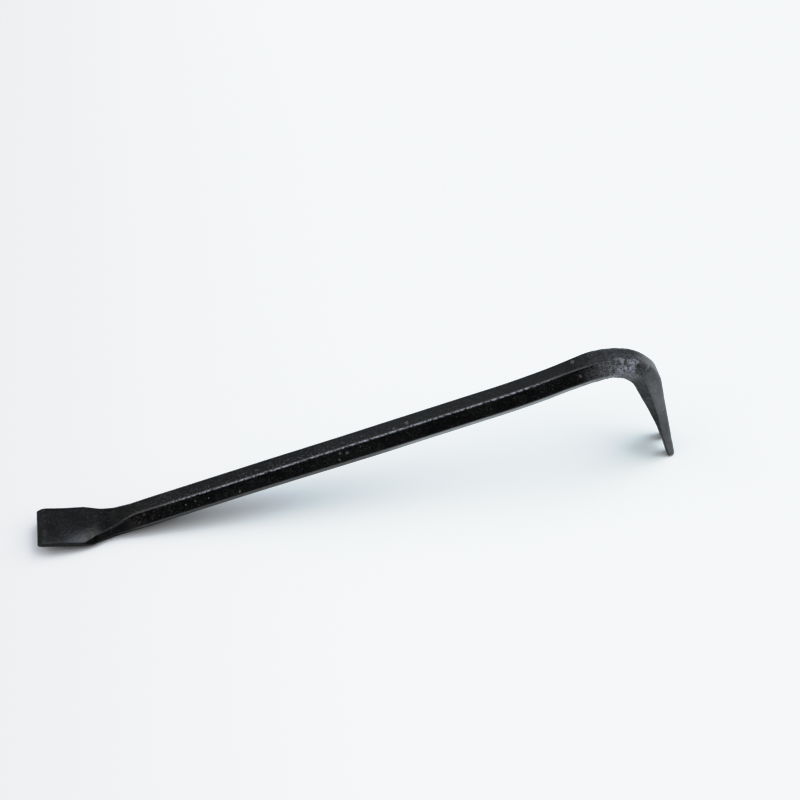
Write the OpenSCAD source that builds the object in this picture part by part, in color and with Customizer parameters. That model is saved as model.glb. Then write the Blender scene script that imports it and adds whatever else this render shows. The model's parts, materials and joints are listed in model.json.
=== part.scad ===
// Gooseneck pry bar, forged from one length of hexagonal bar.
// One end is hammered out into a flat chisel blade. The other end rises a little,
// bends over into a hook and thins into a claw, which a V-shaped slot splits into
// two tines that grip a nail under its head.
// The bar is drawn as it lies on a bench, on the heel under its neck and on its
// two claw tips. X runs along it towards the hook, Z is up, and the XZ plane
// halves it. The origin is on the bench, under the middle of the bar.
// Each node is one forged zone, and neighbours meet at a flat cross-section.

/* [Stock] */
// Width of the hexagonal bar across its flats
across_flats = 20; // [18:0.5:24]

/* [Chisel blade] */
// Width of the blade
blade_w = 36; // [30:1:44]
// Length of the blade, from its edge to the neck
blade_len = 36; // [30:1:50]
// Thickness of the blade where the neck starts
blade_root_t = 6.4; // [5:0.2:8]
// Thickness of the blade behind its bevels
blade_tip_t = 3.4; // [2.6:0.2:4.6]
// Thickness of the blunt edge
edge_t = 2; // [1:0.2:2.4]
// Length of the two bevels behind the edge
bevel_len = 3; // [2:0.5:5]

/* [Neck and shank] */
// Length of the neck, where the flat blade grows into the hexagon
neck_len = 36; // [30:1:50]
// Angle that the neck turns through
neck_bend = 25.5; // [16:0.5:32]
// Length of the straight shank
shank_len = 306; // [240:1:420]
// Slope of the shank while the bar lies on a bench
shank_slope = 14.7; // [12:0.1:18]

/* [Gooseneck and hook] */
// Radius of the gentle upward bend at the end of the shank
rise_r = 600; // [300:10:900]
// Angle of the gentle upward bend
rise_bend = 5.2; // [2:0.1:8]
// Length of the straight shoulder before the hook
shoulder_len = 21; // [10:1:40]
// Radius of the hook's crown, to the middle of the bar
crown_r = 44; // [38:1:60]
// Angle of the crown
crown_bend = 40; // [30:1:50]
// Radius of the tighter bend below the crown
hook_r = 37; // [32:1:50]
// Angle of the tighter bend
hook_bend = 49; // [40:1:56]

/* [Claw] */
// Width of the claw at its widest
claw_w = 29; // [26:1:36]
// Thickness of the claw at its tips
claw_tip_t = 4.8; // [3.6:0.2:6]
// Radius of the claw's slight curve
claw_r = 1450; // [800:50:3000]
// Length of the nail slot
slot_len = 32; // [26:1:38]
// Width of the nail slot at its mouth
slot_mouth_w = 12; // [9:0.5:14]
// Width of the nail slot at its root
slot_root_w = 2.4; // [1.6:0.2:4]

/* [Hidden] */

// The hexagon has a flat on top and one below. Half its height, and its half
// widths at the flats' edges and at the two ridges between them
hex_h = across_flats / 2;
hex_top = hex_h * tan(30);
hex_mid = hex_h / cos(30);

// How the neck grows from the blade, 0, into the hexagon, 1, one row a station:
// place along the neck, thickness, top width, ridge width, bottom width, and how
// far the ridge sits below the middle, as a share of the half thickness
NECK = [
    [0, 0, 0, 0, 0, 0],
    [1 / 6, 0.12, 0.2, 0, 0.03, 0.4],
    [1 / 3, 0.33, 0.43, 0.3, 0.3, 0.4],
    [2 / 3, 0.52, 0.69, 1, 0.62, 0.25],
    [1, 1, 1, 1, 1, 0]
];
// How the claw grows from the hexagon, 0, to its full width or tip thickness, 1,
// with the same columns
CLAW = [
    [0, 0, 0, 0, 0, 0],
    [1 / 3, 0.43, 0.25, 0, 0.25, 0],
    [2 / 3, 0.81, 0.82, 1, 0.82, 0.4],
    [1, 1, 0.77, 0.5, 0.77, 0.4]
];
// Cross-sections in a faceted zone, about 3 mm apart
ring_gap = 3;

forged_black = "#26282b";

// Centreline
// A place on it is [x, z, heading], and a segment is [length, turn]: a positive
// turn bends it upwards
function arc_length(r, a) = PI * r * a / 180;
function along(from, seg, d) =
    let (turn = seg[1] * d / seg[0], a = from[2], b = a + turn)
    let (step = seg[1] == 0
        ? d * [cos(a), sin(a)]
        : seg[0] / seg[1] * 180 / PI * [sin(b) - sin(a), cos(a) - cos(b)])
    [from[0] + step[0], from[1] + step[1], b];
function segment_start(path, start, i) =
    i == 0 ? start
           : along(segment_start(path, start, i - 1), path[i - 1], path[i - 1][0]);

BAR = [
    [blade_len, 0],
    [neck_len, neck_bend],
    [shank_len, 0],
    [arc_length(rise_r, rise_bend), rise_bend],
    [shoulder_len, 0],
    [arc_length(crown_r, crown_bend), -crown_bend],
    [arc_length(hook_r, hook_bend), -hook_bend]
];
blade_slope = shank_slope - neck_bend;

// Value of one column of a station table at u, on a smooth curve that never
// overshoots its stations
function secant(rows, c, k) =
    (rows[k + 1][c] - rows[k][c]) / (rows[k + 1][0] - rows[k][0]);
function tangent(rows, c, k) =
    k == 0 ? secant(rows, c, 0)
    : k == len(rows) - 1 ? secant(rows, c, k - 1)
    : let (a = secant(rows, c, k - 1), b = secant(rows, c, k))
      a * b <= 0 ? 0 : 2 * a * b / (a + b);
function row_below(rows, u) =
    max([for (k = [0 : len(rows) - 2]) if (k == 0 || rows[k][0] <= u) k]);
function station(rows, c, u) =
    let (k = row_below(rows, u), w = rows[k + 1][0] - rows[k][0], t = (u - rows[k][0]) / w)
    rows[k][c] * (1 + 2 * t) * pow(1 - t, 2)
    + rows[k + 1][c] * t * t * (3 - 2 * t)
    + w * tangent(rows, c, k) * t * pow(1 - t, 2)
    + w * tangent(rows, c, k + 1) * t * t * (t - 1);
function mix(a, b, share) = a + (b - a) * share;

// A section's half sizes: [half thickness, top, ridge and bottom half width,
// ridge height]
function neck_sizes(u) =
    let (h = mix(blade_root_t / 2, hex_h, station(NECK, 1, u)), w = blade_w / 2)
    [h, mix(w, hex_top, station(NECK, 2, u)), mix(w, hex_mid, station(NECK, 3, u)),
     mix(w, hex_top, station(NECK, 4, u)), -h * station(NECK, 5, u)];
function claw_sizes(u) =
    let (h = mix(hex_h, claw_tip_t / 2, station(CLAW, 1, u)), w = claw_w / 2)
    [h, mix(hex_top, w, station(CLAW, 2, u)), mix(hex_mid, w, station(CLAW, 3, u)),
     mix(hex_top, w, station(CLAW, 4, u)), -h * station(CLAW, 5, u)];

// Corners of a section as [across the bar, away from its centreline]. A whole
// section has six, and a tine's has five, because the slot cuts it at y = gap
function whole_outline(s) = [
    [s[1], s[0]], [s[2], s[4]], [s[3], -s[0]],
    [-s[3], -s[0]], [-s[2], s[4]], [-s[1], s[0]]
];
function tine_outline(s, gap) = [
    [s[1], s[0]], [s[2], s[4]], [s[3], -s[0]], [gap, -s[0]], [gap, s[0]]
];
function place(p, outline) = [
    for (q = outline) [p[0] - q[1] * sin(p[2]), q[0], p[1] + q[1] * cos(p[2])]
];
// The same, slid along the bar until every corner is on the bench
function place_on_bench(p, outline) = [
    for (c = place(p, outline)) [c[0] - c[2] / tan(p[2]), c[1], 0]
];

// The bar stands on its heel, the lowest line under the neck
raw_start = [0, 0, blade_slope];
raw_neck = segment_start(BAR, raw_start, 1);
heel_drop = min([
    for (u = [0 : 1 / 48 : 1], c = place(along(raw_neck, BAR[1], u * neck_len),
                                         whole_outline(neck_sizes(u)))) c[2]
]);
// The claw runs on its slight curve down to the bench
raw_claw = segment_start(BAR, [0, -heel_drop, blade_slope], 7);
claw_bend = acos(cos(raw_claw[2]) - raw_claw[1] / claw_r) + raw_claw[2];
claw_len = arc_length(claw_r, claw_bend);
raw_tip = along(raw_claw, [claw_len, -claw_bend], claw_len);
// Half the overall length puts the origin under the middle of the bar
tip_reach = -claw_tip_t / 2 / sin(raw_tip[2]);
edge_reach = edge_t / 2 * sin(blade_slope);
middle_x = (raw_tip[0] + tip_reach + edge_reach) / 2;

START = [-middle_x, -heel_drop, blade_slope];
PATH = concat(BAR, [[claw_len, -claw_bend]]);
function start_of(i) = segment_start(PATH, START, i);

// Closed skin over a list of rings with the same number of corners
module loft(rings) {
    n = len(rings[0]);
    last = len(rings) - 1;
    polyhedron(
        points = [for (ring = rings, p = ring) p],
        faces = concat(
            [[for (i = [0 : n - 1]) i]],
            [[for (i = [n - 1 : -1 : 0]) last * n + i]],
            [for (k = [0 : last - 1], i = [0 : n - 1])
                let (a = k * n + i, b = k * n + (i + 1) % n)
                each [[a, a + n, b], [b, a + n, b + n]]]
        ),
        convexity = 4
    );
}

module hexagon() {
    circle(r = hex_mid, $fn = 6);
}

// Straight length of hexagonal bar on segment i
module straight_hex(i) {
    p = start_of(i);
    translate([p[0], 0, p[1]]) rotate([0, 90 - p[2], 0]) rotate([0, 0, 90])
        linear_extrude(PATH[i][0]) hexagon();
}

// Bent length of hexagonal bar on segment i, of radius r
module bent_hex(i, r) {
    p = start_of(i);
    turn = PATH[i][1];
    side = sign(turn);
    first = p[2] - side * 90 + min(turn, 0);
    translate([p[0] - side * r * sin(p[2]), 0, p[1] + side * r * cos(p[2])])
        rotate([90, 0, 0]) rotate([0, 0, first])
            rotate_extrude(angle = abs(turn)) translate([r, 0]) rotate([0, 0, 90]) hexagon();
}

// Flat wedge, ground to a short bevel on both sides of its edge
module chisel_blade() {
    side = [
        [0, edge_t / 2], [bevel_len, blade_tip_t / 2], [blade_len, blade_root_t / 2],
        [blade_len, -blade_root_t / 2], [bevel_len, -blade_tip_t / 2], [0, -edge_t / 2]
    ];
    color(forged_black)
        translate([START[0], 0, START[1]]) rotate([0, -blade_slope, 0]) rotate([90, 0, 0])
            linear_extrude(blade_w, center = true) polygon(side);
}

// The blade narrows and thickens into the hexagon while the bar bends upwards
module blade_neck() {
    steps = ceil(neck_len / ring_gap);
    color(forged_black) loft([
        for (k = [0 : steps])
            place(along(start_of(1), PATH[1], k / steps * neck_len),
                  whole_outline(neck_sizes(k / steps)))
    ]);
}

module shank() {
    color(forged_black) straight_hex(2);
}

module gooseneck_rise() {
    color(forged_black) bent_hex(3, rise_r);
}

module hook_shoulder() {
    color(forged_black) straight_hex(4);
}

module hook_crown() {
    color(forged_black) bent_hex(5, crown_r);
}

module hook_bend() {
    color(forged_black) bent_hex(6, hook_r);
}

// The bar thins and spreads down to the root of the nail slot
module claw_root() {
    root_len = claw_len - slot_len;
    steps = ceil(root_len / ring_gap);
    color(forged_black) loft([
        for (k = [0 : steps])
            place(along(start_of(7), PATH[7], k / steps * root_len),
                  whole_outline(claw_sizes(k / steps * root_len / claw_len)))
    ]);
}

// One tine beside the nail slot, on the +Y side, ending flat on the bench
module claw_tine() {
    steps = ceil(slot_len / ring_gap);
    color(forged_black) loft([
        for (k = [0 : steps])
            let (d = claw_len - slot_len + k / steps * slot_len)
            let (gap = mix(slot_root_w, slot_mouth_w, k / steps) / 2)
            let (p = along(start_of(7), PATH[7], d))
            let (outline = tine_outline(claw_sizes(d / claw_len), gap))
            k < steps ? place(p, outline) : place_on_bench(p, outline)
    ]);
}

module claw_tine_left() {
    claw_tine();
}

module claw_tine_right() {
    mirror([0, 1, 0]) claw_tine();
}

chisel_blade();
blade_neck();
shank();
gooseneck_rise();
hook_shoulder();
hook_crown();
hook_bend();
claw_root();
claw_tine_left();
claw_tine_right();
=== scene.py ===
"""Looks of the gooseneck pry bar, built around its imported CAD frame.

The bar is one forging, so one continuous skin is swept along its centreline and
then divided at the CAD nodes' own cross-sections, one closed piece a node.
The forging is worked out in millimetres and becomes metres when it is a mesh.
"""

import json
import math

import bpy
import numpy as np
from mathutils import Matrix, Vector, noise


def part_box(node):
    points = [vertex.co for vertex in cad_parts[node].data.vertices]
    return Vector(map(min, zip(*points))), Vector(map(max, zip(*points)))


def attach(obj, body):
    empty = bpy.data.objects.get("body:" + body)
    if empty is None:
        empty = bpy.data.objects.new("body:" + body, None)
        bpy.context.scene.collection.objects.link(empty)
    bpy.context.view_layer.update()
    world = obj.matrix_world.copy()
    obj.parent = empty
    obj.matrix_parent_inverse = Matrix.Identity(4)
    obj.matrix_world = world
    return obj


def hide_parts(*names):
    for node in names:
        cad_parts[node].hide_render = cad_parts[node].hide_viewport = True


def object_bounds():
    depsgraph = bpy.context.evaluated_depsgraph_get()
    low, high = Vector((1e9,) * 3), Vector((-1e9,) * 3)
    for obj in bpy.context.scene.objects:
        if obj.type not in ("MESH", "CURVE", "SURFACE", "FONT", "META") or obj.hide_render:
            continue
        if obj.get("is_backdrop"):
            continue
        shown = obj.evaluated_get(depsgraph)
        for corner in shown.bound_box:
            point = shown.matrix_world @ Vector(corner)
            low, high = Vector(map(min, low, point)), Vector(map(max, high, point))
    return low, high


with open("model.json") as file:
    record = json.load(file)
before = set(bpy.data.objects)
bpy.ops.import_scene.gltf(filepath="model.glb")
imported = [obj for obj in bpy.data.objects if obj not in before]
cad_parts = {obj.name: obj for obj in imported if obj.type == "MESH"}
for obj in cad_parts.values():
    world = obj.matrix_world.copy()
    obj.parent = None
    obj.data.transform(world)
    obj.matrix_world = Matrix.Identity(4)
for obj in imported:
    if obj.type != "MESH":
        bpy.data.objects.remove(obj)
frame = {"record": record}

cad_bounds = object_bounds()
MM = 0.001

# The forging's driving dimensions, the same as the CAD model's
ACROSS_FLATS = 20.0
BLADE_W, BLADE_LEN = 36.0, 36.0
BLADE_ROOT_T, BLADE_TIP_T, EDGE_T, BEVEL_LEN = 6.4, 3.4, 2.0, 3.0
NECK_LEN, NECK_BEND = 36.0, 25.5
SHANK_LEN, SHANK_SLOPE = 306.0, 14.7
RISE_R, RISE_BEND, SHOULDER_LEN = 600.0, 5.2, 21.0
CROWN_R, CROWN_BEND, HOOK_R, HOOK_BEND = 44.0, 40.0, 37.0, 49.0
CLAW_W, CLAW_TIP_T, CLAW_R = 29.0, 4.8, 1450.0
SLOT_LEN, SLOT_MOUTH_W, SLOT_ROOT_W = 32.0, 12.0, 2.4

HEX_H = ACROSS_FLATS / 2
HEX_TOP = HEX_H * math.tan(math.radians(30))
HEX_MID = HEX_H / math.cos(math.radians(30))

# Station tables: place along the zone, then how far thickness, top width, ridge
# width, bottom width and ridge drop have changed
NECK = np.array([
    [0, 0, 0, 0, 0, 0],
    [1 / 6, 0.12, 0.21, 0, 0.03, 0.4],
    [1 / 3, 0.33, 0.44, 0.34, 0.3, 0.29],
    [2 / 3, 0.52, 0.75, 0.87, 0.62, 0.12],
    [1, 1, 1, 1, 1, 0],
])
CLAW = np.array([
    [0, 0, 0, 0, 0, 0],
    [1 / 3, 0.43, 0.25, 0, 0.25, 0],
    [2 / 3, 0.81, 0.82, 1, 0.82, 0.4],
    [1, 1, 0.77, 0.5, 0.77, 0.4],
])

# Where the real forging leaves its plain zones, in mm. The near side faces -y.
CORNER_WEAR = {1: (2.2, 5.5), -1: (0.7, 1.6)}    # worn back, and for how far along, by side
FAR_WAIST = 0.8                                  # the blade's far side is a little hollow
SHANK_SPREAD, HOOK_SPREAD, CLAW_ROOT_SPREAD = 0.45, 1.0, 1.1
TINE_SPREAD_SHARE = 0.6
TIP_NARROWING, SLOT_FLARE, TIP_TAPER_LEN = 1.5, 0.9, 3.0
BLADE_ROLL, NECK_ROLL, ROLL_POWER = 0.6, 2.4, 2.5
NECK_PINCH, NECK_SQUEEZE, FAR_NECK_SPREAD = 1.6, 1.4, 1.1
NECK_FLARE, NECK_FLARE_ON = 0.8, 1.75
SHANK_UPSET, HOOK_UPSET = 1.6, 1.2
FLAT_UPSET, RIDGE_UPSET, RIDGE_DROP = 0.4, 0.5, 0.6    # shares of the upset's depth
CLAW_FULLNESS, TIP_FULLNESS_SHARE, TINE_BELLY = 0.9, 0.6, 0.6
BEND_RIDGE_LIFT = 3.6

# How far each ridge is rounded on the shank and on the hook, and the share of it on the
# blade, for the ridges from the top down
LOW_RIDGES = ((0.7, 1.2, 0.5), (0.6, 0.8, 0.6))
RIDGE_ROUNDS = {1: ((1.1, 1.2, 0.5), *LOW_RIDGES), -1: ((1.1, 2.4, 0.25), *LOW_RIDGES)}
FILLET_SHARE = 0.42

# How far the slot's edges are dressed off, outside and inside: depth and width
DRESSED = {0: (0.9, 1.9), 3: (0.4, 1.2)}


# ---------------------------------------------------------------- centreline

def arc_length(radius, degrees):
    return radius * math.radians(degrees)


def walk(path, start, s):
    """Place and heading at each distance s along a path of (length, turn) segments."""
    s = np.asarray(s, float)
    x, z, heading = (np.full(s.shape, v) for v in start)
    px, pz, angle = start
    done = 0.0
    for length, turn in path:
        inside = s >= done - 1e-9
        d = np.clip(s - done, 0, length)
        now = angle + math.radians(turn) * d / length
        if turn:
            r = length / math.radians(turn)
            dx, dz = r * (np.sin(now) - math.sin(angle)), r * (math.cos(angle) - np.cos(now))
        else:
            dx, dz = d * math.cos(angle), d * math.sin(angle)
        x = np.where(inside, px + dx, x)
        z = np.where(inside, pz + dz, z)
        heading = np.where(inside, now, heading)
        if turn:
            end = angle + math.radians(turn)
            px += r * (math.sin(end) - math.sin(angle))
            pz += r * (math.cos(angle) - math.cos(end))
            angle = end
        else:
            px += length * math.cos(angle)
            pz += length * math.sin(angle)
        done += length
    return x, z, heading


def smooth_stations(rows, column, u):
    """One column of a station table at u, on a curve that never overshoots."""
    u0, v = rows[:, 0], rows[:, column]
    secant = np.diff(v) / np.diff(u0)
    slope = np.empty(len(v))
    slope[0], slope[-1] = secant[0], secant[-1]
    for k in range(1, len(v) - 1):
        a, b = secant[k - 1], secant[k]
        slope[k] = 0 if a * b <= 0 else 2 * a * b / (a + b)
    k = np.clip(np.searchsorted(u0, u, side="right") - 1, 0, len(v) - 2)
    w = u0[k + 1] - u0[k]
    t = np.clip((u - u0[k]) / w, 0, 1)
    return (v[k] * (1 + 2 * t) * (1 - t) ** 2 + v[k + 1] * t * t * (3 - 2 * t)
            + w * slope[k] * t * (1 - t) ** 2 + w * slope[k + 1] * t * t * (t - 1))


def mix(a, b, t):
    return a + (b - a) * t


def ramp(a, b, x):
    """0 below a, 1 above b, smooth between; b may be the smaller."""
    t = np.clip((x - a) / (b - a), 0, 1)
    return t * t * (3 - 2 * t)


def hump(start, full, fade, end, x):
    """0 before start, 1 from full to fade, 0 after end, smooth between."""
    return ramp(start, full, x) * ramp(end, fade, x)


BAR = [
    (BLADE_LEN, 0), (NECK_LEN, NECK_BEND), (SHANK_LEN, 0),
    (arc_length(RISE_R, RISE_BEND), RISE_BEND), (SHOULDER_LEN, 0),
    (arc_length(CROWN_R, CROWN_BEND), -CROWN_BEND),
    (arc_length(HOOK_R, HOOK_BEND), -HOOK_BEND),
]
ZONE_ENDS = np.cumsum([length for length, _ in BAR])
S_BLADE, S_NECK, S_SHANK, S_RISE, S_SHOULDER, S_CROWN, S_HOOK = ZONE_ENDS
blade_slope = math.radians(SHANK_SLOPE - NECK_BEND)


def heel_depth():
    """Height of the heel under the neck, from the start of the centreline."""
    u = np.linspace(0, 1, 193)
    _, z, heading = walk(BAR, (0.0, 0.0, blade_slope), S_BLADE + u * NECK_LEN)
    half = mix(BLADE_ROOT_T / 2, HEX_H, smooth_stations(NECK, 1, u))
    return (z - half * np.cos(heading)).min()


def claw_turn(start):
    """Angle that the claw turns through on its way down to the bench."""
    _, z, heading = (v[0] for v in walk(BAR, start, [S_HOOK]))
    return math.acos(math.cos(heading) - z / CLAW_R) + heading


# The bar stands on its heel, and its cutting edge is where the CAD's is
START = (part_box("chisel_blade")[0][0] / MM - EDGE_T / 2 * math.sin(blade_slope),
         -heel_depth(), blade_slope)
claw_bend = claw_turn(START)
CLAW_LEN = CLAW_R * claw_bend
PATH = BAR + [(CLAW_LEN, -math.degrees(claw_bend))]
S_TIP = S_HOOK + CLAW_LEN
S_FORK = S_TIP - SLOT_LEN


# ------------------------------------------------------- cross-section outline

FLAT_STEPS = 12
FACET_STEPS = 14
FILLET = np.linspace(0, 1, 5)
WALL_STEPS = 8
EDGE_ROUND = 0.5
TIP_ROUND = 0.7
ROOT_R = SLOT_ROOT_W / 2
RIDGE_MARGIN = 0.02


def sizes(s):
    """Half thickness, top, ridge and bottom half widths, and ridge height at each s."""
    blade_h = np.interp(s, [0, BEVEL_LEN, BLADE_LEN],
                        [EDGE_T / 2, BLADE_TIP_T / 2, BLADE_ROOT_T / 2])
    n = np.clip((s - S_BLADE) / NECK_LEN, 0, 1)
    c = np.clip((s - S_HOOK) / CLAW_LEN, 0, 1)
    h = np.where(s < S_BLADE, blade_h,
                 mix(BLADE_ROOT_T / 2, HEX_H, smooth_stations(NECK, 1, n)))
    h = mix(h, CLAW_TIP_T / 2, smooth_stations(CLAW, 1, c))
    widths = []
    for column, hexagon in ((2, HEX_TOP), (3, HEX_MID), (4, HEX_TOP)):
        w = mix(BLADE_W / 2, hexagon, smooth_stations(NECK, column, n))
        widths.append(mix(w, CLAW_W / 2, smooth_stations(CLAW, column, c)))
    ridge = -h * (smooth_stations(NECK, 5, n) + smooth_stations(CLAW, 5, c))
    # the outside of the hook's tight bend is drawn thin, which lifts its ridge
    lift = BEND_RIDGE_LIFT * hump(S_CROWN - 8, S_CROWN + 4, S_CROWN + 10, S_HOOK - 4, s)
    return [h] + widths + [ridge + lift]


def slot_gap(s):
    """Half the width of the nail slot, which starts as a round root."""
    straight = mix(SLOT_ROOT_W, SLOT_MOUTH_W, np.clip((s - S_FORK) / SLOT_LEN, 0, 1)) / 2
    back = np.clip((S_FORK - s) / ROOT_R, 0, 1)
    return np.where(s < S_FORK, ROOT_R * np.sqrt(1 - back ** 2), straight)


def end_round(d, r):
    """How far a surface draws in at distance d from an end rounded to radius r."""
    d = np.clip(d, 0, r)
    return r - np.sqrt(r * r - (r - d) ** 2)


def corner_wear(s, side):
    """How far the blade's sides are worn in: its far corner is round, its near one dulled."""
    worn, reach = CORNER_WEAR[side]
    waist = FAR_WAIST * hump(4, 24, S_BLADE - 2, S_BLADE + 8, s) if side > 0 else 0
    return worn * np.clip(1 - s / reach, 0, 1) ** 1.4 + waist


def spread(s):
    """How much wider than the plain zones forging left the shank, hook and claw."""
    shank = SHANK_SPREAD * hump(S_NECK - 12, S_NECK + 20, S_NECK + 110, S_NECK + 190, s)
    hook = HOOK_SPREAD * ramp(S_RISE - 10, S_SHOULDER + 8, s)
    hook = hook * mix(1.0, TINE_SPREAD_SHARE, ramp(S_HOOK, S_FORK, s))
    root = CLAW_ROOT_SPREAD * hump(S_HOOK - 16, S_HOOK, S_HOOK + 12, S_HOOK + 28, s)
    return shank + hook + root


def near_edge_roll(s):
    """How far the near edge was rolled down where the blade ends."""
    roll = mix(BLADE_ROLL, NECK_ROLL, ramp(S_BLADE - 18, S_BLADE + 3, s))
    return roll * hump(0, 8, S_BLADE + 2, S_BLADE + 17, s)


def neck_top_spread(s, side):
    """How much wider the neck's top is. Its near side is pinched in, then flares."""
    if side > 0:
        return FAR_NECK_SPREAD * hump(S_BLADE + 12, S_BLADE + 24, S_NECK - 6, S_NECK + 8, s)
    pinch = NECK_PINCH * hump(S_BLADE - 5, S_BLADE + 3, S_BLADE + 6, S_BLADE + 14, s)
    flare = NECK_FLARE * ramp(S_BLADE + 8, S_BLADE + 17, s)
    flare = flare + NECK_FLARE_ON * ramp(S_BLADE + 18, S_NECK, s)
    return flare * ramp(S_NECK + 10, S_NECK - 1, s) - pinch


def upset(s):
    """How much deeper the bar is where it was upset a little, before the gooseneck."""
    deep = hump(S_SHANK - 210, S_SHANK - 90, S_SHOULDER + 8, S_SHOULDER + 26, s)
    return deep * mix(SHANK_UPSET, HOOK_UPSET, ramp(S_RISE - 15, S_RISE + 5, s))


def claw_fullness(s):
    """How far the claw's outer face was left full."""
    tips = mix(1, TIP_FULLNESS_SHARE, ramp(S_HOOK + 30, S_TIP - 8, s))
    return CLAW_FULLNESS * tips * hump(S_HOOK - 16, S_HOOK, S_TIP - 6, S_TIP, s)


def half_corners(s, side):
    """Sharp corners [across, out] of one half of every section, from the middle of its
    top to the middle of its bottom, with the slot's gap and the near edge's roll."""
    h, top, mid, bottom, ridge = sizes(s)
    near_side = side < 0
    tip = np.clip(1 - (S_TIP - s) / TIP_TAPER_LEN, 0, 1) ** 2
    ends = end_round(s, EDGE_ROUND) + end_round(S_TIP - s, TIP_ROUND)
    narrow = corner_wear(s, side) + TIP_NARROWING * tip + ends - spread(s)
    squeeze = near_side * NECK_SQUEEZE * hump(S_BLADE - 3, S_BLADE + 8, S_NECK - 12, S_NECK + 2, s)
    belly = near_side * TINE_BELLY * hump(S_FORK, S_TIP - 6, S_TIP - 2, S_TIP, s)
    roll = near_side * near_edge_roll(s)
    deep = upset(s)

    gap = slot_gap(s)
    gap = np.where(gap > 0, gap + SLOT_FLARE * tip + ends, 0)
    h = h - ends
    top = top - narrow + neck_top_spread(s, side) + near_side * FLAT_UPSET * deep
    bottom = bottom - narrow - squeeze + FLAT_UPSET * deep
    mid = np.maximum(mid - narrow - squeeze + RIDGE_UPSET * deep, np.maximum(top, bottom))
    ridge = np.clip(ridge, -h + RIDGE_MARGIN, h - RIDGE_MARGIN) - RIDGE_DROP * deep
    outside, inside = h + claw_fullness(s), -h - belly - deep
    corners = ((gap, outside), (top, outside - roll), (mid, ridge), (bottom, inside), (gap, inside))
    return [np.stack(corner, -1) for corner in corners], gap, roll


def fillet_ends(before, corner, after, reach):
    """Where the rounding of a corner starts and ends."""
    ways = (before - corner, after - corner)
    lengths = [np.linalg.norm(way, axis=-1) for way in ways]
    reach = np.minimum(reach, FILLET_SHARE * np.minimum(*lengths))[:, None]
    return [corner + way / np.maximum(length, 1e-6)[:, None] * reach
            for way, length in zip(ways, lengths)]


def dress_slot(outline, codes, gap):
    """Dresses off the nail slot's edges, the outer one more."""
    dressed = ramp(0.6, 2.5, gap)[:, None]
    for flat, (depth, width) in DRESSED.items():
        on_flat = np.abs(codes[:, 0] - flat) < 0.1
        away = outline[:, on_flat, 0] - gap[:, None]
        roll = depth * dressed * np.clip(1 - away / width, 0, 1) ** 2
        outline[:, on_flat, 1] += -roll if flat == 0 else roll


def half_outline(s, side):
    """Points (ring, point, [across, out]) round one half of every section, and for each
    point its place round the section and its closeness to a ridge."""
    p, gap, roll = half_corners(s, side)
    on_hook = ramp(S_SHOULDER - 10, S_CROWN, s)
    on_blade = ramp(S_NECK, S_BLADE, s)
    points, codes = [], []
    start = p[0]
    for i, (shank, hook, blade_share) in enumerate(RIDGE_ROUNDS[side], 1):
        reach = mix(shank, hook, on_hook) * mix(1, blade_share, on_blade)
        a, b = fillet_ends(p[i - 1], p[i], p[i + 1], reach)
        first, steps = (0, FLAT_STEPS) if i == 1 else (1, FACET_STEPS)
        for k in range(first, steps):
            t = k / steps
            points.append(mix(start, a, t))
            codes.append((i - 1, 0.0))
            if i == 1:
                points[-1][:, 1] += roll * (t - t ** ROLL_POWER)
        for f in FILLET:
            points.append((1 - f) ** 2 * a + 2 * f * (1 - f) * p[i] + f * f * b)
            codes.append((i - 0.5, 1 - abs(2 * f - 1)))
        start = b
    for k in range(1, FLAT_STEPS + 1):
        points.append(mix(start, p[4], k / FLAT_STEPS))
        codes.append((3, 0.0))
    outline, codes = np.stack(points, 1), np.array(codes)
    dress_slot(outline, codes, gap)
    return outline, codes


# ------------------------------------------------------------------- the skin

def spaced(a, b, step):
    n = max(1, math.ceil((b - a) / step))
    return np.linspace(a, b, n + 1)[:-1]


slot_start = S_FORK - ROOT_R
RINGS = np.concatenate([
    EDGE_ROUND * (1 - np.cos(np.linspace(0, math.pi / 2, 5)))[:-1],
    spaced(EDGE_ROUND, S_BLADE, 0.8), spaced(S_BLADE, S_NECK, 0.7),
    spaced(S_NECK, S_SHANK, 1.5), spaced(S_SHANK, S_RISE, 1.3),
    spaced(S_RISE, S_SHOULDER, 0.8), spaced(S_SHOULDER, S_CROWN, 0.55),
    spaced(S_CROWN, S_HOOK, 0.6), spaced(S_HOOK, slot_start, 0.8),
    slot_start + ROOT_R * (1 - np.cos(np.linspace(0, math.pi / 2, 8)))[:-1],
    spaced(S_FORK, S_TIP - TIP_ROUND, 0.75),
    S_TIP - TIP_ROUND * (1 - np.sin(np.linspace(0, math.pi / 2, 6))),
])


def nearest_ring(s):
    return int(np.abs(RINGS - s).argmin())


ROOT_RING = nearest_ring(slot_start)
pos_x, pos_z, angle = walk(PATH, START, RINGS)
# the claw's last millimetres lean over until its tips are cut parallel to the bench
lean = ramp(S_TIP - 5, S_TIP, RINGS)[:, None]


def place(outline, side):
    """The outline's points in space."""
    across, out = outline[..., 0], outline[..., 1]
    sin, cos = np.sin(angle)[:, None], np.cos(angle)[:, None]
    slide = -out * cos / sin * lean
    return np.stack([
        pos_x[:, None] - out * sin + slide * cos,
        side * across,
        pos_z[:, None] + out * cos + slide * sin,
    ], -1)


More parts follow.
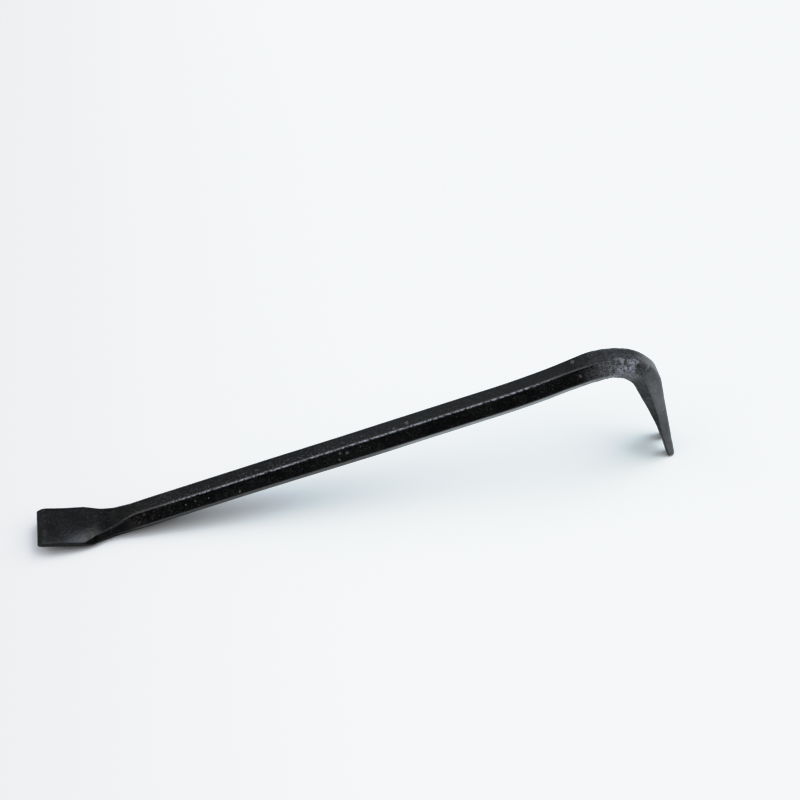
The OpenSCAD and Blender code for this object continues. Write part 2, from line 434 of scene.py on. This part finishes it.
class Skin:
    """Vertices of the whole forging, with marks that say where on it each one is."""

    def __init__(self):
        self.points, self.marks = [], []
        self.count = 0

    def add_grid(self, points, marks):
        index = np.arange(points.shape[0] * points.shape[1]) + self.count
        self.points.append(points.reshape(-1, 3))
        self.marks.append(marks.reshape(-1, marks.shape[-1]))
        self.count += index.size
        return index.reshape(points.shape[:2])

    def weld(self, faces):
        """Joins vertices at the same place, where the two halves meet, and gives the
        faces with their new vertex numbers."""
        points, marks = np.concatenate(self.points), np.concatenate(self.marks)
        key = np.round(points * 1e5).astype(np.int64)
        _, first, back = np.unique(key, axis=0, return_index=True, return_inverse=True)
        back = back.reshape(-1)
        self.xyz, self.marks = points[first], marks[first]
        return [back[f] for f in faces]


ZONES = ["chisel_blade", "blade_neck", "shank", "gooseneck_rise", "hook_shoulder",
         "hook_crown", "hook_bend", "claw_root", "claw_tine_left", "claw_tine_right"]
TINE_SIDES = {"claw_tine_left": (1,), "claw_tine_right": (-1,)}
zone_rings = [0] + [nearest_ring(s) for s in (*ZONE_ENDS, S_FORK)] + [len(RINGS) - 1]
SLOT_WALL = 4

skin = Skin()
grids, walls = {}, {}
for side in (1, -1):
    outline, codes = half_outline(RINGS, side)
    shape = outline.shape[:2]
    # marks on each vertex: distance along, place round the section, closeness to a
    # ridge, and side
    marks = np.stack([
        np.broadcast_to(RINGS[:, None], shape),
        np.broadcast_to(codes[None, :, 0], shape),
        np.broadcast_to(codes[None, :, 1], shape),
        np.full(shape, float(side)),
    ], -1)
    placed = place(outline, side)
    grids[side] = skin.add_grid(placed, marks)
    t = np.linspace(0, 1, WALL_STEPS + 1)[1:-1]
    wall = mix(placed[:, -1:, :], placed[:, :1, :], t[None, :, None])
    wall_marks = np.repeat(marks[:, :1, :], len(t), 1)
    wall_marks[..., 1] = SLOT_WALL
    inner = skin.add_grid(wall, wall_marks)
    walls[side] = np.concatenate([grids[side][:, -1:], inner, grids[side][:, :1]], 1)


def strip_faces(grid, first, last, flip):
    a, b = grid[first:last, :-1], grid[first:last, 1:]
    c, d = grid[first + 1:last + 1, 1:], grid[first + 1:last + 1, :-1]
    quads = np.stack([a, b, c, d], -1).reshape(-1, 4)
    return quads[:, ::-1] if flip else quads


def section_loop(ring, side):
    """Closed loop round one tine's section, or round the whole bar's for side 0."""
    if side:
        return np.concatenate([grids[side][ring], walls[side][ring][1:-1]])
    return np.concatenate([grids[1][ring], grids[-1][ring][::-1][1:-1]])


strips, inner_caps, end_caps = [], [], []
for zone_index, zone in enumerate(ZONES):
    k = min(zone_index, len(zone_rings) - 2)
    first, last = zone_rings[k], zone_rings[k + 1]
    sides = TINE_SIDES.get(zone, (1, -1))
    for side in sides:
        strips.append((zone_index, strip_faces(grids[side], first, last, side > 0)))
        if last > ROOT_RING:
            wall_first = max(first, ROOT_RING)
            strips.append((zone_index, strip_faces(walls[side], wall_first, last, side > 0)))
    for ring, at_start in ((first, True), (last, False)):
        slotted = ring > ROOT_RING
        caps = end_caps if ring in (0, len(RINGS) - 1) else inner_caps
        for side in sides if slotted else (1,):
            loop = section_loop(ring, side if slotted else 0)
            caps.append((zone_index, loop if (side > 0) != at_start else loop[::-1]))

quad_zone = np.concatenate([np.full(len(strip), zone) for zone, strip in strips])
quads, *loops = skin.weld([np.concatenate([strip for _, strip in strips])]
                          + [loop for _, loop in end_caps + inner_caps])
visible = [(zone, loop) for (zone, _), loop in zip(end_caps, loops)]
hidden = [(zone, loop) for (zone, _), loop in zip(inner_caps, loops[len(end_caps):])]


def loop_normal(points):
    """Area-weighted normal of a planar polygon."""
    return 0.5 * np.cross(points, np.roll(points, -1, 0)).sum(0)


def skin_normals(xyz):
    """Smooth vertex normals over everything that can be seen."""
    normals = np.zeros_like(xyz)
    a, b, c, d = (xyz[quads[:, i]] for i in range(4))
    n = 0.5 * np.cross(c - a, d - b)
    for i in range(4):
        np.add.at(normals, quads[:, i], n)
    for _, loop in visible:
        cap = loop_normal(xyz[loop])
        np.add.at(normals, loop, cap / len(loop))
    return normals / np.maximum(np.linalg.norm(normals, axis=1), 1e-12)[:, None]


# ------------------------------------------------------------ forged surface

along, around, ridge_mark, side_mark = skin.marks.T
across = skin.xyz[:, 1]
normals = skin_normals(skin.xyz)


def noise_field(points, scale, octaves=1, seed=0.0):
    """Perlin noise about 0 at each point, with features of the given size in mm."""
    out = np.zeros(len(points))
    for k in range(octaves):
        f = 2 ** k / scale
        shift = Vector((seed, seed * 0.7 + k * 3.1, -seed * 1.3))
        out += 0.5 ** k * np.array([noise.noise(Vector(p) * f + shift) for p in points])
    return out


def near(value, centre, reach):
    return np.clip(1 - np.abs(value - centre) / reach, 0, 1)


def bell(offset, width):
    """1 where the offset is 0, falling away on both sides."""
    return np.exp(-(offset / width) ** 2)


# Faces of the section, by place round it: 0 is the top, 1 the upper facet, 2 the lower
# facet, 3 the bottom, and the halves between them are the ridges
front = side_mark < 0
upper_facet = np.abs(around - 1) < 0.55
lower = around > 1.7
on_top = np.clip(1 - around, 0, 1)

# Places along the bar: where the hammered stretch of the crown starts, and the nick in
# the hook's bend with the dark patch beside it
S_HAMMERED = S_SHOULDER + 8
S_NICK = S_CROWN + 15.4
S_PATCH = S_NICK - 5.5

# The hammered stretch on the crown and bend, with its bare steel
hammered = hump(S_HAMMERED - 13, S_HAMMERED + 6, S_CROWN + 8, S_CROWN + 17, along)
hammered *= np.where(upper_facet, 1, np.where(around < 0.4, 0.12, 0.25))
hammered *= np.where(front, 1, 0.3)
struck_bare = hammered * ramp(S_SHOULDER, S_CROWN, along)

# The greyed paint of the hook and claw. On the claw the lower facets are greyed less and less
# towards the tips, so they are darker there
upper_grey = mix(0.14, 0.55, ramp(S_SHOULDER + 14, S_CROWN - 8, along))
upper_grey = mix(upper_grey, 0.9, ramp(S_CROWN + 6, S_HOOK - 6, along))
lower_grey = mix(0.62, 0.32, ramp(S_HOOK + 4, S_HOOK + 36, along))
claw_grey = mix(1, np.where(lower, 1.5, 1.9), ramp(S_CROWN, S_HOOK, along))
greyed = ramp(S_SHOULDER - 14, S_HAMMERED + 2, along)
greyed *= np.where(lower, lower_grey, np.where(upper_facet, upper_grey, 0.52))
greyed *= np.where(upper_facet, 1, claw_grey)

# The duller paint of the blade's and neck's sides, and of the lower facets except from
# the shank's end to the crown
dulled = np.maximum.reduce([
    np.where(around > 0.7, ramp(S_NECK + 12, S_NECK - 8, along), 0),
    np.where(around > 0.3, ramp(S_BLADE + 6, S_BLADE - 6, along), 0),
    np.where(lower, ramp(S_SHANK - 60, S_SHANK - 110, along), 0),
    np.where(lower, ramp(S_CROWN, S_HOOK, along), 0),
])


def strokes(length, width, seed):
    """Noise drawn out across the bar, as hammer strokes leave it."""
    flat = np.stack([along / width, across / length, around * 1.3], -1)
    return noise_field(flat, 1.0, 2, seed)


# The surface's unevenness, in mm out from the smooth skin
SINK, DRIFT, RIPPLE = 0.03, 0.07, 0.02
HAMMERED_SINK, HAMMERING = 0.10, 1.30
CLAW_RIPPLE, CLAW_HAMMERING = 0.10, 0.04
drift = noise_field(skin.xyz, 38.0, 2, 4.0)
ripple = noise_field(skin.xyz, 9.0, 1, 9.0)
chased = strokes(4.5, 2.4, 17.0)
depth = -SINK + DRIFT * drift + RIPPLE * ripple
depth += hammered * (HAMMERING * chased - HAMMERED_SINK)
depth += ramp(S_HOOK - 6, S_HOOK + 10, along) * (CLAW_RIPPLE * ripple + CLAW_HAMMERING * chased)

# A raised lip where the hook was gripped, the chisel nick, and chips in the cutting edge
LIP_HEIGHT, LIP_WIDTH, LIP_WANDER = 0.20, 0.9, 1.2
NICK_DEPTH, NICK_WIDTH, NICK_SLANT = 0.9, 0.6, 0.35
CHIP_DEPTH, CHIP_SIZE = 0.5, 1.8
lip = bell(along - S_HAMMERED - LIP_WANDER * np.sin(across * 0.5), LIP_WIDTH)
depth += LIP_HEIGHT * lip * (around < 2) * ramp(5, 0, across)
nick = bell(along - S_NICK - NICK_SLANT * (across + 9), NICK_WIDTH)
nick *= front * hump(0.45, 0.6, 1.4, 1.6, around)
depth -= NICK_DEPTH * nick
edge_chips = np.clip(noise_field(skin.xyz, CHIP_SIZE, 1, 31.0) - 0.15, 0, 1)
depth -= CHIP_DEPTH * edge_chips * ramp(1.2, 0.2, along)

xyz = skin.xyz + normals * depth[:, None]
low, high = (np.array(corner) / MM for corner in cad_bounds)
xyz = np.clip(xyz, low, high)
normals = skin_normals(xyz)

# What the paint needs to know at each vertex: its distance along in mm, and how far each
# state of the paint, or of the light painted on it, holds there, from 0 to 1 or a little over
# The top ridges' paint is lightened to steel: partly wear, partly a painted highlight where the
# ridge catches the light. It is strongest on the near ridge, weak by the neck and on the far side,
# and it fades out before the gooseneck.
ridge_wear_and_highlight = np.where(front, mix(0.12, 1, ramp(S_NECK + 10, S_NECK + 90, along)), 0.35)
neck_sides = np.where(around > 0.7, 1, 0.5 * ramp(S_BLADE + 8, S_BLADE + 20, along))
attributes = {
    "along": along,
    "ridge": ridge_mark * (np.abs(around - 0.5) < 0.1)
    * ramp(S_RISE + 14, S_RISE - 40, along) * ridge_wear_and_highlight,
    "greyed": greyed,
    "dulled": dulled,
    "patch": ramp(0, 0.3, near(along, S_PATCH, 5.0) * front * upper_facet),
    "hammered": hammered,
    # painted glints: bright patches on the struck steel of the crown, partly polish
    "polish_and_glint": struck_bare * ramp(S_CROWN - 18, S_CROWN, along),
    "sooty": hump(S_BLADE - 2, S_BLADE + 4, S_NECK - 6, S_NECK + 16, along) * neck_sides,
    # painted light: the claw's upper facets lightened towards lilac where the light falls on them,
    # less towards the tips
    "pale": upper_facet * ramp(S_CROWN + 14, S_HOOK, along)
    * mix(1, 0.3, ramp(S_HOOK + 14, S_TIP - 10, along)),
    "rubbed": on_top * np.where(front, 1, 0.35)
    * hump(S_NECK + 14, S_NECK + 40, S_SHANK - 40, S_SHANK, along)
    * mix(1, 0.35, ramp(S_NECK + 150, S_NECK + 230, along)),
    "dusty": on_top * hump(S_NECK + 100, S_SHANK - 70, S_RISE, S_SHOULDER, along),
    "bare": struck_bare,
    "on_top": (around < 0.3).astype(float),
    "nick": np.clip(nick, 0, 1),
    "rusty": hump(S_NECK - 2, S_NECK + 14, S_NECK + 28, S_NECK + 50, along) * (around < 1.2),
    "edge": ramp(BEVEL_LEN + 0.6, BEVEL_LEN - 0.6, along),
    # a lighter band just behind the bevel: partly scuffing of the paint, partly a painted highlight
    # where the blade's face curves
    "scuffed_and_sheen": bell(along - BEVEL_LEN - 2.2, 1.3) * on_top,
}


def mesh_piece(zone_index):
    """One zone of the skin as a closed mesh with the whole skin's normals."""
    own_quads = quads[quad_zone == zone_index]
    caps = [(loop, None) for zone, loop in visible if zone == zone_index]
    caps += [(loop, loop_normal(xyz[loop])) for zone, loop in hidden if zone == zone_index]
    faces = [tuple(f) for f in own_quads.tolist()] + [tuple(l.tolist()) for l, _ in caps]
    used, flat = np.unique(np.concatenate([np.asarray(f) for f in faces]), return_inverse=True)
    flat = flat.reshape(-1)
    local, at = [], 0
    for f in faces:
        local.append(tuple(flat[at:at + len(f)].tolist()))
        at += len(f)
    name = "forged_" + ZONES[zone_index]
    mesh = bpy.data.meshes.new(name)
    mesh.from_pydata((xyz[used] * MM).tolist(), [], local)
    mesh.polygons.foreach_set("use_smooth", np.ones(len(local), bool))
    for key, values in attributes.items():
        layer = mesh.attributes.new(key, "FLOAT", "POINT")
        layer.data.foreach_set("value", values[used].astype(np.float32))
    mesh.update()
    # the hidden faces between zones meet the skin at sharp edges
    rims = set()
    for (loop, plane), face in zip(caps, local[len(own_quads):]):
        if plane is not None:
            rims |= {frozenset(pair) for pair in zip(face, face[1:] + face[:1])}
    for edge in mesh.edges:
        edge.use_edge_sharp = frozenset(edge.vertices) in rims
    loop_normals = normals[used][flat]
    at = own_quads.size
    for loop, plane in caps:
        if plane is not None:
            loop_normals[at:at + len(loop)] = plane / np.linalg.norm(plane)
        at += len(loop)
    mesh.normals_split_custom_set(loop_normals.tolist())
    piece = bpy.data.objects.new(name, mesh)
    bpy.context.collection.objects.link(piece)
    return piece


# -------------------------------------------------------------------- materials

# Patches of noise in the paint: scale, detail, roughness, and the values of the noise
# where a patch starts and is full
PATCHES = {
    "rubbed": (520, 3, 0.7, 0.54, 0.64),
    "crazed_sheen": (110, 3, 0.6, 0.32, 0.58),
    "pits": (330, 3, 0.7, 0.53, 0.60),
    "polish_and_glint": (260, 3, 0.7, 0.50, 0.57),
    "grazes": (480, 3, 0.6, 0.60, 0.68),
    "worn": (560, 3, 0.7, 0.43, 0.57),
    "rust": (300, 4, 0.7, 0.52, 0.66),
    "flecks": (1100, 1, 0.4, 0.765, 0.79),
    "edge": (420, 4, 0.7, 0.40, 0.70),
    "scuff_and_sheen_spots": (260, 3, 0.6, 0.42, 0.60),
}


class Nodes:
    """Short forms for the shader nodes that the materials use."""

    def __init__(self, tree):
        self.tree = tree

    def add(self, kind, **settings):
        node = self.tree.nodes.new(kind)
        for key, value in settings.items():
            setattr(node, key, value)
        return node

    def put(self, socket, value):
        if isinstance(value, bpy.types.NodeSocket):
            self.tree.links.new(value, socket)
        elif hasattr(socket, "default_value"):
            socket.default_value = value

    def attribute(self, name):
        return self.add("ShaderNodeAttribute", attribute_name=name).outputs["Fac"]

    def math(self, operation, a, b=0.0):
        node = self.add("ShaderNodeMath", operation=operation)
        self.put(node.inputs[0], a)
        self.put(node.inputs[1], b)
        return node.outputs[0]

    def times(self, a, b):
        return self.math("MULTIPLY", a, b)

    def most(self, a, b):
        return self.math("MAXIMUM", a, b)

    def noise(self, scale, detail, rough, distortion=0.0):
        node = self.add("ShaderNodeTexNoise")
        node.inputs["Scale"].default_value = scale
        node.inputs["Detail"].default_value = detail
        node.inputs["Roughness"].default_value = rough
        node.inputs["Distortion"].default_value = distortion
        self.put(node.inputs["Vector"], self.place)
        return node.outputs["Fac"]

    def scaled(self, colour, share):
        node = self.add("ShaderNodeVectorMath", operation="SCALE")
        node.inputs[0].default_value = colour
        self.put(node.inputs["Scale"], share)
        return node.outputs[0]

    def crackle(self, scale, wander):
        """Distance to the lines of a crazed network whose lines wander a little."""
        bend = self.add("ShaderNodeTexNoise")
        bend.inputs["Scale"].default_value = scale * 1.3
        self.put(bend.inputs["Vector"], self.place)
        shift = self.add("ShaderNodeVectorMath", operation="MULTIPLY_ADD")
        self.put(shift.inputs[0], bend.outputs["Color"])
        shift.inputs[1].default_value = (wander, wander, wander)
        self.put(shift.inputs[2], self.place)
        cells = self.add("ShaderNodeTexVoronoi", feature="DISTANCE_TO_EDGE")
        cells.inputs["Scale"].default_value = scale
        self.put(cells.inputs["Vector"], shift.outputs[0])
        return cells.outputs["Distance"]

    def step(self, value, low, high):
        """Smooth 0 to 1 as value goes from low to high."""
        node = self.add("ShaderNodeMapRange", interpolation_type="SMOOTHSTEP")
        self.put(node.inputs["Value"], value)
        node.inputs["From Min"].default_value = low
        node.inputs["From Max"].default_value = high
        return node.outputs["Result"]

    def patches(self, name):
        scale, detail, rough, low, high = PATCHES[name]
        return self.step(self.noise(scale, detail, rough), low, high)

    def blend(self, share, a, b):
        node = self.add("ShaderNodeMix", data_type="RGBA")
        self.put(node.inputs["Factor"], share)
        self.put(node.inputs["A"], a)
        self.put(node.inputs["B"], b)
        return node.outputs["Result"]

    def over(self, colour, layer, mask, share):
        """The colour, with a layer over it where the mask is, share strong."""
        return self.blend(self.times(mask, share), colour, layer)

    def lerp(self, share, a, b):
        node = self.add("ShaderNodeMix", data_type="FLOAT")
        self.put(node.inputs["Factor"], share)
        self.put(node.inputs["A"], a)
        self.put(node.inputs["B"], b)
        return node.outputs["Result"]

    def bump(self, height, distance, strength, normal=None):
        node = self.add("ShaderNodeBump")
        node.inputs["Strength"].default_value = strength
        node.inputs["Distance"].default_value = distance
        self.put(node.inputs["Height"], height)
        if normal:
            self.put(node.inputs["Normal"], normal)
        return node.outputs["Normal"]


def new_material(name):
    material = bpy.data.materials.new(name)
    material.use_nodes = True
    nodes = Nodes(material.node_tree)
    shader = material.node_tree.nodes["Principled BSDF"]
    nodes.place = nodes.add("ShaderNodeTexCoord").outputs["Object"]
    return material, nodes, shader


BLACK = (0.0013, 0.0014, 0.0015, 1)
CHARCOAL = (0.0038, 0.0038, 0.0036, 1)
GREY = (0.054, 0.055, 0.059, 1)
LILAC = (0.380, 0.380, 0.440, 1)
STEEL_AND_HIGHLIGHT = (0.330, 0.340, 0.385, 1)
BROWN = (0.064, 0.042, 0.031, 1)
DUST = (0.088, 0.078, 0.070, 1)
SOOT = (0.002, 0.002, 0.002, 1)

# Places where the paint was knocked off, in mm: distance along, place across, reach
KNOCKS = [
    (251.0, -8.0, 0.8), (256.5, -8.8, 1.2), (249.0, -10.6, 0.9), (308.0, -2.0, 1.6),
    (268.0, -8.0, 0.5), (130.0, -8.6, 0.6), (122.0, -9.0, 0.6), (141.0, -9.2, 0.7),
    (166.0, -10.6, 0.9), (297.0, -3.4, 0.9), (446.0, 2.6, 1.7), (448.0, -9.6, 1.1),
]
FACET_STRETCH = 1.9      # distance down the sloping facet for each mm across


def knocked(n):
    """1 where the paint is chipped away to pale primer, with ragged edges."""
    split = n.add("ShaderNodeSeparateXYZ")
    n.put(split.inputs[0], n.place)
    along, across = n.attribute("along"), n.times(split.outputs["Y"], 1 / MM)
    ragged = n.times(n.noise(700, 2, 0.6), 2.0)
    chips = None
    for at, off, reach in KNOCKS:
        da = n.math("SUBTRACT", along, at)
        dy = n.times(n.math("SUBTRACT", across, off), FACET_STRETCH if off < -HEX_TOP else 1.0)
        square = n.math("ADD", n.times(da, da), n.times(dy, dy))
        gap = n.math("DIVIDE", n.times(n.math("SQRT", square), ragged), reach)
        spot = n.math("SUBTRACT", 1.0, n.step(gap, 0.75, 1.05))
        chips = n.most(chips, spot) if chips else spot
    return chips


def mottled_paint(n, cloud, grain, greyed):
    """Black paint that has gone grey in clouds, smudges and speckles, with painted light on the
    claw's upper facets.
    """
    smudge = n.noise(250, 4, 0.65)
    colour = n.blend(n.step(cloud, 0.35, 0.75), BLACK, CHARCOAL)
    colour = n.over(colour, GREY, n.step(smudge, 0.52, 0.66), 0.13)
    dull = n.times(greyed, n.lerp(n.step(cloud, 0.25, 0.65), 0.75, 1.0))
    dull = n.times(dull, n.lerp(n.step(smudge, 0.42, 0.58), 0.62, 1.3))
    dull = n.most(dull, n.times(n.attribute("dusty"), 0.20))
    colour = n.blend(dull, colour, GREY)
    speckle = n.step(grain, 0.57, 0.70)
    colour = n.over(colour, GREY, speckle, n.lerp(n.step(cloud, 0.4, 0.6), 0.30, 0.8))
    # painted light on the claw's upper facets, in lilac
    colour = n.over(colour, LILAC, n.attribute("pale"), 0.08)
    return n.over(colour, LILAC, n.times(n.attribute("rubbed"), n.patches("rubbed")), 0.14)


def struck_paint(n, colour, greyed):
    """The colour, with crazing, pits, polish and grazes where the hook was struck, and painted
    highlights in its bright lines and glints.
    """
    bare = n.attribute("bare")
    # painted highlights: a lilac network of lines on the struck steel, for light caught on the
    # hammer wrinkles, over bare steel
    lines = n.step(n.crackle(400, 0.0030), 0.20, 0.03)
    polish_and_glint = n.times(n.attribute("polish_and_glint"), n.patches("polish_and_glint"))
    colour = n.over(colour, LILAC, bare, n.times(lines, n.patches("crazed_sheen")))
    colour = n.over(colour, SOOT, n.times(bare, n.patches("pits")), 0.85)
    # painted glints: lilac patches on the struck steel of the crown, partly polish
    colour = n.over(colour, LILAC, polish_and_glint, 0.8)
    return n.over(colour, LILAC, n.times(greyed, n.patches("grazes")), 0.30)


def worn_paint(n, colour, chips, rust):
    """The colour, lightened to steel on the ridges as wear and a painted highlight, rusty, chipped,
    and with scuffing and a painted highlight just behind the cutting edge.
    """
    # painted highlight and wear: steel colour along the top ridges
    ridge = n.times(n.step(n.attribute("ridge"), 0.0, 0.6), n.patches("worn"))
    edge = n.times(n.attribute("edge"), n.patches("edge"))
    # painted highlight and scuffing: lighter grey in a band behind the bevel
    scuff_and_sheen_spots = n.times(n.attribute("scuffed_and_sheen"), n.patches("scuff_and_sheen_spots"))
    colour = n.over(colour, STEEL_AND_HIGHLIGHT, ridge, 0.9)
    colour = n.over(colour, BROWN, rust, 0.45)
    colour = n.over(colour, DUST, chips, 0.8)
    colour = n.over(colour, BROWN, edge, 0.22)
    colour = n.over(colour, GREY, scuff_and_sheen_spots, 0.45)
    dark = n.most(n.attribute("nick"), n.times(n.attribute("patch"), 0.9))
    return n.blend(dark, colour, SOOT)


def relief(n, grain, chips):
    """Orange peel, hammer marks, grit and sunken chips, each over the one before."""
    peel = n.times(n.noise(520, 3, 0.6), n.lerp(n.attribute("on_top"), 0.25, 1.0))
    struck = n.times(n.noise(300, 3, 0.65, 0.8), n.attribute("hammered"))
    normal = n.bump(peel, 0.30 * MM, 0.8)
    normal = n.bump(struck, 2.4 * MM, 1.0, normal)
    normal = n.bump(grain, 0.06 * MM, 0.5, normal)
    return n.bump(n.times(chips, -1.0), 0.12 * MM, 0.8, normal)


def forged_paint(name):
    """Black paint on forged steel: mottled, dusty, chipped and worn on its ridges, with painted
    highlights on its ridges, struck crown and claw.
    """
    material, n, shader = new_material(name)
    cloud, grain = n.noise(55, 4, 0.6), n.noise(900, 3, 0.6)
    greyed, dulled = n.attribute("greyed"), n.attribute("dulled")
    chips = n.most(knocked(n), n.patches("flecks"))
    rust = n.times(n.attribute("rusty"), n.patches("rust"))

    colour = mottled_paint(n, cloud, grain, greyed)
    colour = struck_paint(n, colour, greyed)
    n.put(shader.inputs["Base Color"], worn_paint(n, colour, chips, rust))

    rough = n.lerp(n.step(cloud, 0.3, 0.7), 0.11, 0.15)
    rough = n.lerp(n.most(greyed, dulled), rough, 0.34)
    n.put(shader.inputs["Roughness"], n.lerp(n.most(chips, rust), rough, 0.6))
    gloss = n.lerp(dulled, 0.6, 0.13)
    n.put(shader.inputs["Specular IOR Level"], n.lerp(n.attribute("sooty"), gloss, 0.04))
    n.put(shader.inputs["Normal"], relief(n, grain, chips))
    return material


# The visible pieces: one for each CAD node, with its finish
paints = {slot["slot"]: forged_paint(slot["slot"]) for slot in frame["record"]["materials"]}
slot_of = {part["node"]: part["material_slot"] for part in frame["record"]["subparts"]}
for zone_index, zone in enumerate(ZONES):
    piece = mesh_piece(zone_index)
    piece.data.materials.append(paints[slot_of[zone]])
    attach(piece, "root")
    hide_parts(zone)


# ------------------------------------------------------------------ the studio

# The pale table, mottled between two whites, with painted shade that dims it towards the blade's
# end
FLOOR_SIZE = 60
FLOOR_WHITES = (0.90, 0.925, 0.925, 1), (0.92, 0.94, 0.94, 1)
FLOOR_DIM, FLOOR_DIM_SHARE = (0.67, 0.61, 0.63, 1), 0.68
FLOOR_LIT_X, FLOOR_DIM_X = 0.10, -0.45


def pale_floor():
    bpy.ops.mesh.primitive_plane_add(size=FLOOR_SIZE)
    floor = bpy.context.object
    floor.name = "floor"
    material, n, shader = new_material("pale_table")
    split = n.add("ShaderNodeSeparateXYZ")
    n.put(split.inputs[0], n.place)
    white = n.blend(n.step(n.noise(1.1, 2, 0.5), 0.3, 0.7), *FLOOR_WHITES)
    # painted shade: the floor darkens from x = 0.10 m to x = -0.45 m
    dim = n.step(split.outputs["X"], FLOOR_LIT_X, FLOOR_DIM_X)
    n.put(shader.inputs["Base Color"], n.over(white, FLOOR_DIM, dim, FLOOR_DIM_SHARE))
    shader.inputs["Roughness"].default_value = 0.65
    shader.inputs["Specular IOR Level"].default_value = 0.2
    floor.data.materials.append(material)
    floor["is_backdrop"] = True


# Soft boxes around the bar: where each one hangs, its bright core and its soft rim in
# degrees, its level and tint. The room itself is dim, and darkest in front of the bar.
NEUTRAL, COOL = Vector((0.99, 0.995, 1.0)), Vector((0.93, 0.98, 1.10))
SOFT_BOXES = [
    (Vector((0.0, -0.12, 0.99)), 22, 38, 1.25, Vector((0.98, 0.99, 1.01))),
    (Vector((0.43, 0.33, 0.84)), 8, 18, 1.30, Vector((0.87, 0.97, 1.17))),
    (Vector((0.75, -0.10, 0.65)), 15, 39, 1.7, NEUTRAL),
    (Vector((-0.75, 0.0, 0.65)), 15, 45, 1.0, NEUTRAL),
    (Vector((-0.08, 0.66, 0.74)), 3, 26, 0.12, COOL),
]
ROOM_BACK, ROOM_FRONT = 0.10, 0.026


def studio_light():
    world = bpy.data.worlds.new("studio")
    bpy.context.scene.world = world
    world.use_nodes = True
    n = Nodes(world.node_tree)
    ray = n.add("ShaderNodeTexCoord").outputs["Generated"]
    split = n.add("ShaderNodeSeparateXYZ")
    n.put(split.inputs[0], ray)
    room = n.lerp(n.step(split.outputs["Y"], -0.5, 0.6), ROOM_FRONT, ROOM_BACK)
    light = n.scaled(NEUTRAL, room)
    for place, core, rim, level, tint in SOFT_BOXES:
        dot = n.add("ShaderNodeVectorMath", operation="DOT_PRODUCT")
        n.put(dot.inputs[0], ray)
        dot.inputs[1].default_value = place.normalized()
        rim_cos, core_cos = (math.cos(math.radians(degrees)) for degrees in (rim, core))
        glow = n.step(dot.outputs["Value"], rim_cos, core_cos)
        both = n.add("ShaderNodeVectorMath", operation="ADD")
        n.put(both.inputs[0], light)
        n.put(both.inputs[1], n.scaled(tint * level, glow))
        light = both.outputs[0]
    n.put(world.node_tree.nodes["Background"].inputs["Color"], light)


# The photograph's viewing angle: azimuth, elevation, distance and the point looked at
VIEW_AZIMUTH, VIEW_ELEVATION = 10.9, 48.3
VIEW_DISTANCE, VIEW_LENS = 1.0754, 63.0
VIEW_TARGET = Vector((0.030, 0.0, 0.105))


def camera():
    a, e = math.radians(VIEW_AZIMUTH), math.radians(VIEW_ELEVATION)
    look = Vector((math.sin(a) * math.cos(e), math.cos(a) * math.cos(e), -math.sin(e)))
    data = bpy.data.cameras.new("camera")
    data.lens, data.sensor_width = VIEW_LENS, 36.0
    data.clip_start, data.clip_end = 0.05, 30
    view = bpy.data.objects.new("camera", data)
    view.location = VIEW_TARGET - look * VIEW_DISTANCE
    view.rotation_euler = look.to_track_quat("-Z", "Y").to_euler()
    bpy.context.collection.objects.link(view)
    bpy.context.scene.camera = view


# The photograph's contrast, as scene light in and picture light out, and its cool white
FILM_TONE = [(0.30, 0.34), (0.40, 0.51), (0.50, 0.72), (0.60, 0.835), (0.70, 0.895), (0.86, 0.95)]
COOL_WHITE = (0.912, 0.945, 0.955)


def film_tone():
    settings = bpy.context.scene.view_settings
    settings.view_transform = "Standard"
    settings.use_curve_mapping = True
    *colour_curves, combined = settings.curve_mapping.curves
    for light, tone in FILM_TONE:
        combined.points.new(light, tone)
    for curve, share in zip(colour_curves, COOL_WHITE):
        curve.points[-1].location = (1.0, share)
    settings.curve_mapping.update()


pale_floor()
studio_light()
camera()
film_tone()

sides = {"cad": cad_bounds, "visual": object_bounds()}
